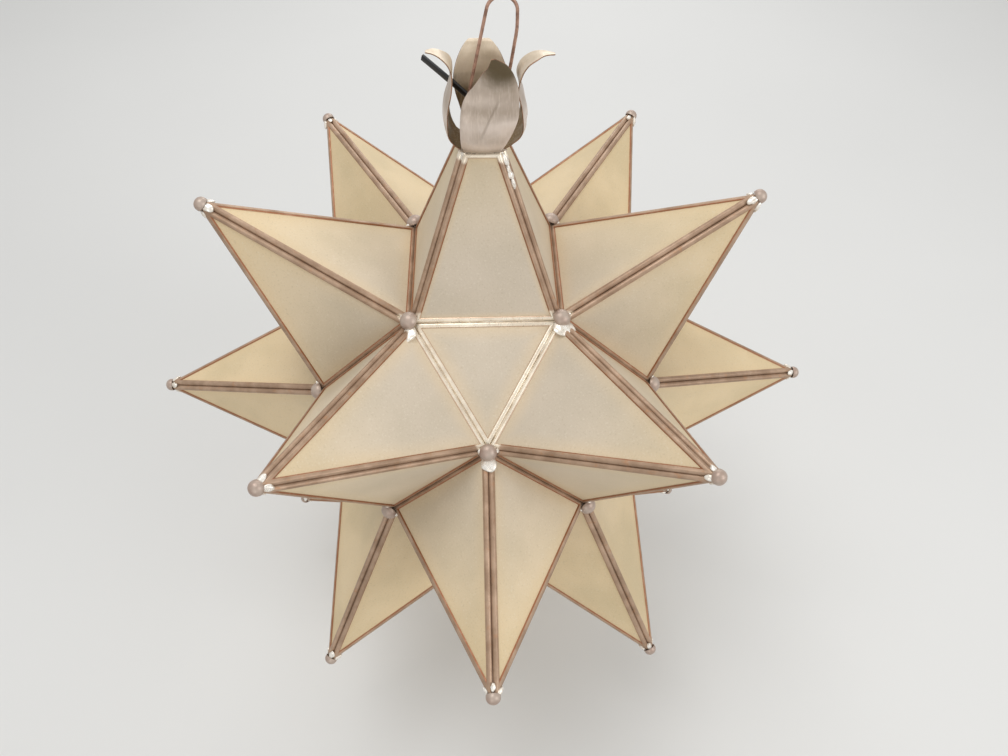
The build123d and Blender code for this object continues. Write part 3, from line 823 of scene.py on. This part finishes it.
beside_square = point_corners(inset(square_valley))
beside_triangle = point_corners(inset(triangle_valley))
neck_beside_square = neck_corners(inset(square_valley))
neck_beside_triangle = neck_corners(inset(triangle_valley))
door_beside_square = point_corners(door_inset(square_valley))
door_beside_triangle = point_corners(door_inset(triangle_valley))
for make, kind, slot_name, material in ((came_ring, "cames", "patinated_came", came),
                                        (pane, "glass", "frosted_glass", glass)):
    square_model = make(beside_square)
    triangle_model = make(beside_triangle)
    for group, along in ((face_points, square_model), (edge_points, triangle_model)):
        for name, parts in zip(group, point_set(square_model, along, group.values())):
            node = f"{name}_point_{kind}"
            piece(joined(parts, node + "_fine"), "star", slot_name, material, node)
    for node, body, place, across, along in (
        ("neck_" + kind, "star", neck_place, neck_beside_square, neck_beside_triangle),
        ("door_" + kind, "door", door_place, door_beside_square, door_beside_triangle),
    ):
        models = [make(across), make(along)]
        piece(joined(point_set(*models, [place])[0], node + "_fine"), body, slot_name, material, node)
        dropped(*models)
    model = make(triangle_corners())
    node = "triangle_" + kind
    piece(joined(copied(model, triangle_places), node + "_fine"), "star", slot_name, material, node)
    dropped(model, square_model, triangle_model)


# ---- Caps ----
corner_cap_radius = 7 * MM
cap_gap = 0.15 * MM
tip_cap_drop = 5.6 * MM
cap_edge = 0.12 * MM


def dome(diameter, height, skirt, wall):
    """A pressed round cap, open below, on a straight skirt."""
    bpy.ops.mesh.primitive_uv_sphere_add(segments=32, ring_count=20, radius=diameter / 2)
    cap_model = bpy.context.object
    edit(cap_model)
    bpy.ops.mesh.bisect(plane_co=(0, 0, 0), plane_no=(0, 0, 1), clear_inner=True, threshold=1e-6)
    bpy.ops.mesh.select_all(action="SELECT")
    flatness = (height - skirt) / (diameter / 2)
    bpy.ops.transform.resize(value=(1, 1, flatness), center_override=(0, 0, 0))
    bpy.ops.transform.translate(value=(0, 0, skirt))
    if skirt:
        bpy.ops.mesh.select_all(action="DESELECT")
        bpy.ops.mesh.select_non_manifold()
        extrude((0, 0, -skirt))
    leave_edit()
    close(cap_model)
    finished(cap_model, "SOLIDIFY", thickness=wall, offset=-1)
    finished(cap_model, "BEVEL", width=cap_edge, segments=2, limit_method="ANGLE",
             angle_limit=radians(50))
    smooth(cap_model, 40)
    return cap_model


def upright(origin, out):
    """The place whose local Z looks out."""
    place = Vector(out).to_track_quat("Z", "Y").to_matrix().to_4x4()
    place.translation = origin
    return place


# A corner cap stands on the ridges that climb from its corner
corner = Vector((1, 1, 1 + sqrt(2))) * half_side
ridge = Vector((0, 0, tip_reach)) - corner
ridge_climb = asin(ridge.dot(corner) / (ridge.length * corner.length))
corner_lift = corner_cap_radius * tan(ridge_climb) + cap_gap
corner_places = [upright(star_centre + at + at.normalized() * corner_lift, at) for at in capped_corners]
closed_points = list(face_points.values()) + list(edge_points.values())
tip_rise = Matrix.Translation((0, 0, point_height - tip_cap_drop))
tip_places = [place @ tip_rise for place in closed_points]
corner_model = dome(diameter=2 * corner_cap_radius, height=6.15 * MM, skirt=0, wall=0.7 * MM)
tip_model = dome(diameter=10.8 * MM, height=6.55 * MM, skirt=1.7 * MM, wall=0.55 * MM)
for model, places, body, node in ((corner_model, corner_places, "star", "corner_caps"),
                                  (tip_model, tip_places, "star", "tip_caps"),
                                  (tip_model, [door_place @ tip_rise], "door", "door_tip_cap")):
    piece(joined(copied(model, places), node + "_fine"), body, "cap_metal", cap, node)
dropped(corner_model, tip_model)


# ---- Solder ----
chance = random.Random(7)


def blob(seed):
    """An uneven lump of solder, about 2 units across."""
    bpy.ops.mesh.primitive_ico_sphere_add(subdivisions=3, radius=1)
    lump = bpy.context.object
    for vertex in lump.data.vertices:
        vertex.co *= 1 + 0.38 * noise.noise(vertex.co * 1.1 + Vector((seed * 7.1, seed, 0)))
    smooth(lump, 60)
    return lump


def lump_place(at, along, out, length, width, height):
    """Where a lump of this size lies, along a run of came."""
    along = Vector(along).normalized()
    out = (Vector(out) - along * along.dot(Vector(out))).normalized()
    place = Matrix((along, out.cross(along), out)).transposed().to_4x4()
    place.translation = at
    return place @ Matrix.Diagonal((length / 2, width / 2, height / 2, 1))


blobs = [blob(seed) for seed in range(4)]
lumps = {"star": [], "door": []}


def solder_at(place, body="star"):
    """One more lump there, of a shape drawn by chance."""
    lumps[body] += copied(chance.choice(blobs), [place])


# Lumps beside the corner caps, where the ridges leave them; large ones round the front triangle
neck_way = Vector((0, 0, 1))
door_way = -neck_way
point_ways = [place.to_3x3() @ neck_way for place in closed_points] + [door_way, neck_way]
bright_corners = [at for at in capped_corners if at.normalized().dot(front_triangle_out) > 0.86]
lowest_bright = min(bright_corners, key=lambda at: at.z)
for at in capped_corners:
    near = sorted(point_ways, key=lambda way: (way * square_reach - at).length)[:3]
    lowest = min(near, key=lambda way: way.z)
    for way in near:
        if way == neck_way:
            continue
        ridge_way = (way * tip_reach - at).normalized()
        lift = (at + ridge_way * 20 * MM).normalized()
        length, width, height = (chance.uniform(2.6, 5.0) * MM for _ in range(3))
        reach, raised = 7.6 * MM, 0.8 * MM
        if at in bright_corners and way == lowest:
            length, width, height = 13.5 * MM, 11 * MM, 6.5 * MM
            reach, raised = 9.5 * MM, 1.4 * MM
            if at is not lowest_bright:
                lean = 0.8 if at.x < 0 else 0.35
                ridge_way = (ridge_way + (lowest_bright - at).normalized() * lean).normalized()
                if at.x > 0:
                    width, reach = 17 * MM, 8.5 * MM
        where = star_centre + at + ridge_way * reach + lift * raised
        solder_at(lump_place(where, ridge_way, lift, length, width, height * 0.8),
                  "door" if way == door_way else "star")

# Four lumps under each tip cap, one on each ridge
for place, body in [(each, "star") for each in closed_points] + [(door_place, "door")]:
    for turn in (45, 135, 225, 315):
        out = around(turn)
        run = (Vector((0, 0, point_height)) - out * half_side * sqrt(2)).normalized()
        depth = chance.uniform(8.5, 10.5) * MM
        where = Vector((0, 0, point_height)) - run * depth + out * 0.7 * MM
        size = chance.uniform(0.65, 1.15)
        local = lump_place(where, run, out, 8.5 * MM * size, 5.6 * MM * size, 3.6 * MM * size)
        solder_at(place @ local, body)

# One at each corner of the neck's rim, and a run down the neck's right front ridge
neck_half = neck_top_width / 2
rim_reach = neck_half - 0.5 * MM
for across, back, size in ((-1, -1, 1.0), (1, -1, 0.8), (-1, 1, 0.7), (1, 1, 0.7)):
    where = neck_top + Vector((across * rim_reach, back * rim_reach, -3.2 * MM))
    solder_at(lump_place(where, (across, back, -4), (across, back, 0.5),
                         8 * MM * size, 6 * MM * size, 4 * MM * size))
ridge_top = neck_top + Vector((neck_half, -neck_half, 0))
ridge_down = Vector((1, -1, -point_height / half_side)).normalized()
for depth, length, width in ((6, 9, 3.4), (13, 10, 3.0), (17, 6, 4.2), (23, 9, 2.6)):
    where = ridge_top + ridge_down * depth * MM + Vector((0.3, -0.3, 0)) * MM
    solder_at(lump_place(where, ridge_down, (1, -1, 0.5), length * MM, width * MM, 2.6 * MM))

# Long low lumps that overlap in a run, along each side of the front triangle
run_lumps = 9
for start, end in zip(bright_corners, bright_corners[1:] + bright_corners[:1]):
    along = (end - start).normalized()
    out = (start + end).normalized()
    for step in range(run_lumps):
        share = 0.14 + 0.72 * step / (run_lumps - 1) + chance.uniform(-0.02, 0.02)
        at = star_centre + start.lerp(end, share)
        solder_at(lump_place(at + out * chance.uniform(0.1, 0.5) * MM, along, out,
                             chance.uniform(13, 17) * MM, chance.uniform(2.4, 3.2) * MM,
                             chance.uniform(1.6, 2.2) * MM))
for body, parts in lumps.items():
    piece(joined(parts, body + "_solder"), body, "patinated_came", solder)
dropped(*blobs)


# ---- The flower ----
# Each petal: its turn about the neck, the share of its length from which its cup flattens, and the
# stations of its middle line in mm: out from the neck, aside, up, and how wide it is there
petal_root = (15.1, 0.0, 0.15, 23.0)
petal_lines = {
    "front_petal": (270, 1.0, [
        (20.6, 0.0, 4.2, 26.5), (23.6, 0.6, 12.0, 30.5), (24.2, 3.0, 24.0, 35.5), (23.0, 5.8, 36.0, 37.0),
        (22.0, 8.8, 47.0, 30.5), (22.3, 10.0, 57.0, 22.5), (24.6, 9.6, 65.5, 13.5),
        (26.8, 7.0, 72.5, 2.4)]),
    "right_petal": (0, 1.0, [
        (21.5, 0.0, 3.6, 25.5), (28.0, 0.0, 11.0, 31.0), (30.4, 0.0, 21.0, 35.5), (28.4, 0.0, 33.5, 33.0),
        (25.6, 0.0, 43.5, 26.0), (26.6, 0.0, 51.0, 20.5), (29.9, 0.0, 56.0, 17.0), (34.5, 0.0, 59.6, 13.0),
        (39.6, 0.0, 61.4, 8.0), (46.7, 0.0, 61.3, 2.4)]),
    "back_petal": (90, 0.6, [
        (21.0, 0.0, 3.8, 26.0), (25.0, 0.0, 12.0, 30.5), (25.6, 0.0, 24.0, 36.0), (23.8, 0.3, 36.0, 37.0),
        (22.2, 0.6, 46.0, 32.5), (22.6, 0.8, 53.5, 25.0), (24.6, 0.8, 57.9, 16.5), (27.8, 0.7, 57.2, 9.5),
        (30.8, 0.6, 53.0, 2.4)]),
    "left_petal": (180, 1.0, [
        (20.2, 0.0, 3.2, 25.0), (24.3, 0.0, 10.5, 30.5), (26.0, 0.0, 21.0, 35.0), (24.8, 0.0, 32.0, 33.0),
        (21.4, 0.0, 42.5, 26.0), (20.0, 0.0, 51.0, 19.5), (21.5, 0.0, 57.0, 15.0), (25.5, 0.0, 61.2, 11.0),
        (30.0, 0.0, 63.2, 6.5), (34.9, 0.0, 63.5, 2.4)]),
}
petal_sheet = 0.8 * MM
petal_edge = 0.2 * MM
petal_cup = 53 * MM
least_width = 0.6 * MM
crest_length = 0.2
ripple_height = 0.22 * MM
ripple_across = 520
ripple_along = 17


def between(stations, share):
    """A smooth walk through the stations, and the way it heads."""
    spans = len(stations) - 1
    k = min(int(share * spans), spans - 1)
    t = share * spans - k
    p1, p2 = Vector(stations[k]), Vector(stations[k + 1])
    p0 = Vector(stations[k - 1]) if k else p1 * 2 - p2
    p3 = Vector(stations[k + 2]) if k + 2 <= spans else p2 * 2 - p1
    slant, bend, twist = p2 - p0, p0 * 2 - p1 * 5 + p2 * 4 - p3, p1 * 3 - p0 - p2 * 3 + p3
    at = (p1 * 2 + slant * t + bend * t * t + twist * t**3) / 2
    heading = (slant + bend * 2 * t + twist * 3 * t * t) / 2
    return at, Vector(heading[:3]).normalized()


def petal(name, turn, crest, line):
    """A bent petal: a grid laid along its line, cupped, rippled and given the sheet's thickness."""
    stations = [petal_root] + line
    bpy.ops.mesh.primitive_grid_add(x_subdivisions=16, y_subdivisions=56, size=1)
    leaf = bpy.context.object
    leaf.name = name + "_fine"
    for vertex in leaf.data.vertices:
        share = vertex.co.y + 0.5
        at, heading = between(stations, share)
        out, aside, up, width = (number * MM for number in at)
        across = (Vector((0, 1, 0)) - heading * heading.y).normalized()
        hollow = heading.cross(across)
        reach = max(width, least_width) * vertex.co.x
        cupped = min(share * len(line), 1) * (1 - clamped((share - crest) / crest_length))
        ripple = ripple_height * sin(reach * ripple_across + share * ripple_along) * min(share * 4, 1)
        depth = cupped * (reach**2 / (2 * petal_cup) + ripple)
        vertex.co = Vector((out, aside, up)) + across * reach + hollow * depth
    for material in (petals, petal_inside, petal_rim):
        leaf.data.materials.append(material)
    finished(leaf, "SOLIDIFY", thickness=petal_sheet, offset=-1, use_even_offset=True,
             material_offset=1, material_offset_rim=2)
    finished(leaf, "BEVEL", width=petal_edge, segments=2, limit_method="ANGLE", angle_limit=radians(60))
    leaf.data.transform(Matrix.Translation(neck_top) @ Matrix.Rotation(radians(turn), 4, "Z"))
    smooth(leaf, 50)
    piece(leaf, "star", "flower_metal", None, name)


for name, (turn, crest, line) in petal_lines.items():
    petal(name, turn, crest, line)

# ---- The wire loop ----
# Its corners and feet in mm from the neck's top: across, up, and the radius of the bend
loop_corners = [(-9.3, -9.9, 1.4), (-9.3, 4.5, 30.0), (-10.4, 25.0, 30.0), (5.4, 98.0, 9.5),
                (22.4, 98.0, 9.0), (22.4, 78.0, 50.0), (19.0, 56.0, 50.0), (9.3, 4.5, 30.0),
                (9.3, -9.9, 1.4)]
loop_feet = ((-13.3, -9.9), (13.3, -9.9))
wire_radius = 1.09 * MM
bend_step = radians(6)
nearly_straight = 0.02


def rounded(first, corners, last):
    """Points of a bent wire with an arc at each corner."""
    places = [Vector(first)] + [Vector(at[:2]) for at in corners] + [Vector(last)]
    radii = [radius for _, _, radius in corners]
    run = [places[0]]
    for before, at, after, radius in zip(places, places[1:], places[2:], radii):
        back, on = (before - at).normalized(), (after - at).normalized()
        half = back.angle(on) / 2
        bisector = (back + on).normalized()
        middle = at + bisector * radius / sin(half)
        start, end = at + back * radius / tan(half), at + on * radius / tan(half)
        sweep = pi - 2 * half
        steps = max(2, int(sweep / bend_step))
        for step in range(steps + 1):
            share = step / steps
            first_spoke, last_spoke = start - middle, end - middle
            if sweep < nearly_straight:
                spoke = first_spoke.lerp(last_spoke, share)
            else:
                spoke = first_spoke * sin((1 - share) * sweep) + last_spoke * sin(share * sweep)
                spoke /= sin(sweep)
            run.append(middle + spoke)
    return run + [places[-1]]


wire_line = bpy.data.curves.new("wire_line", "CURVE")
wire_line.dimensions = "3D"
wire_line.bevel_depth = wire_radius
wire_line.bevel_resolution = 5
wire_line.use_fill_caps = True
route = rounded(loop_feet[0], loop_corners, loop_feet[1])
spline = wire_line.splines.new("POLY")
spline.points.add(len(route) - 1)
for point, place in zip(spline.points, route):
    point.co = (*(neck_top + Vector((place.x, 0, place.y)) * MM), 1)
loop = bpy.data.objects.new("hanging_loop_fine", wire_line)
bpy.context.collection.objects.link(loop)
choose(loop)
bpy.ops.object.convert(target="MESH")
loop = bpy.context.object
close(loop)
smooth(loop, 50)
piece(loop, "hanger", "wire", wire, "hanging_loop")

# ---- The cord's bare end ----
strand_radius = 0.17 * MM
strand_length = 0.9 * MM
strand_pitch = 0.36 * MM
strand_edge = 0.06 * MM
# The cores lie along the widest line of the sheath's cut end
sheath = bpy.data.meshes.new_from_object(cord.evaluated_get(bpy.context.evaluated_depsgraph_get()))
cord_end = neck_rim + Vector(cord_points[-1]) * MM
cord_way = (Vector(cord_points[-1]) - Vector(cord_points[-2])).normalized()
from_end = [vertex.co - cord_end for vertex in sheath.vertices]
end_ring = [at for at in from_end if at.length < 4 * MM and abs(at.dot(cord_way)) < 0.3 * MM]
widest = max(end_ring, key=lambda at: at.length)
core_side = (widest - cord_way * widest.dot(cord_way)).normalized()
bpy.data.meshes.remove(sheath)
bpy.ops.mesh.primitive_circle_add(vertices=12, radius=strand_radius, fill_type="NGON")
strand = bpy.context.object
edit(strand)
extrude((0, 0, strand_length))
leave_edit()
close(strand)
finished(strand, "BEVEL", width=strand_edge, segments=2, limit_method="ANGLE", angle_limit=radians(50))
smooth(strand, 60)
# One strand in the middle of each core and six round it
ring = [Vector()] + [around(turn) * strand_pitch for turn in range(60, 361, 60)]
strand_places = []
for hand in (-1, 1):
    middle = cord_end + core_side * hand * core_radius - cord_way * strand_length / 2
    core_place = standing(core_side, cord_way, middle)
    strand_places += [core_place @ Matrix.Translation(each) for each in ring]
cores = piece(joined(copied(strand, strand_places), "supply_cord_cores"), "star", "cord", core_copper)
dropped(strand)

# ---- The bulb ----
bulb_radius = 22.4 * MM
bulb_neck_radius = 7.9 * MM
bulb_neck_length = 12 * MM
shoulder = Vector((neck_axis, 0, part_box("bulb_glass")[1].z - bulb_neck_length))
globe_middle = shoulder - Vector((0, 0, sqrt(bulb_radius**2 - bulb_neck_radius**2)))
bpy.ops.mesh.primitive_uv_sphere_add(segments=48, ring_count=32, radius=bulb_radius,
                                     location=globe_middle)
bulb = bpy.context.object
bulb.name = "bulb_glass_fine"
baked(bulb)
edit(bulb)
bpy.ops.mesh.bisect(plane_co=shoulder, plane_no=(0, 0, 1), clear_outer=True, use_fill=True)
leave_edit()
# Only the flat face of the cut has more than four corners
edit_faces(bulb, lambda face: len(face.vertices) > 4)
extrude((0, 0, bulb_neck_length))
leave_edit()
close(bulb)
smooth(bulb, 40)
piece(bulb, "star", "bulb_glass", opal, "bulb_glass")

bpy.context.scene.view_settings.view_transform = "Standard"
